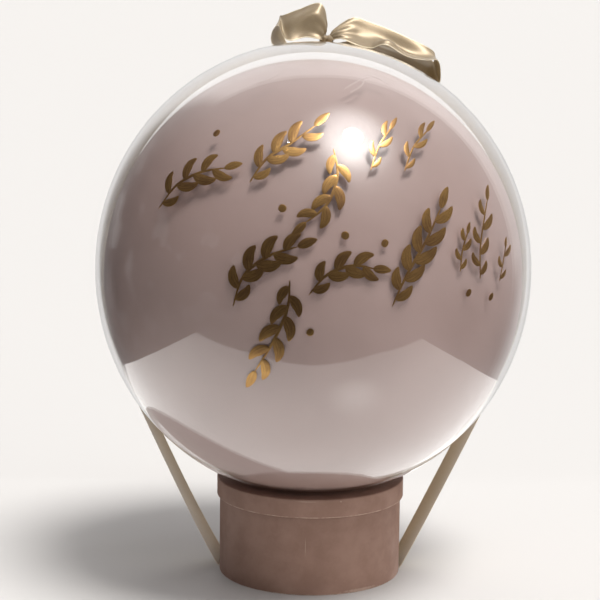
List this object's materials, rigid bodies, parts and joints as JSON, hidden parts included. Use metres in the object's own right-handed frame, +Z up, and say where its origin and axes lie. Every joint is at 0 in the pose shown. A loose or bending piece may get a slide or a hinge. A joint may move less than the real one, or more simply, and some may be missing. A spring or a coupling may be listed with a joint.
{
  "type": "gender reveal balloon",
  "caption": "Clear bubble balloon with an opaque balloon inside, resting on a round lidded hat box and held down by a satin ribbon tied in a bow on top.",
  "frame": {"origin": "middle of the underside of the hat box, on the surface it stands on", "axes": "+Z up through the box and the balloon, front (the painted side) towards -Y, the bow's long loop towards +X"},
  "size_m": [0.459, 0.459, 0.6041],
  "materials": {
    "box_card": "matt dusty rose-brown paper over board",
    "clear_film": "clear stretched film, very glossy",
    "satin_ribbon": "champagne-gold satin",
    "inner_balloon": "opaque mauve-taupe latex, glossy",
    "gold_paint": "hand-brushed gold paint"
  },
  "bodies": {
    "root": {"box_base": "box_card", "box_lid": "box_card", "bubble_balloon": "clear_film", "ribbon_over_balloon": "satin_ribbon", "ribbon_strap_left": "satin_ribbon", "ribbon_strap_right": "satin_ribbon", "bow_loop_left": "satin_ribbon", "bow_loop_right": "satin_ribbon", "bow_knot": "satin_ribbon"}
  },
  "joints": []
}
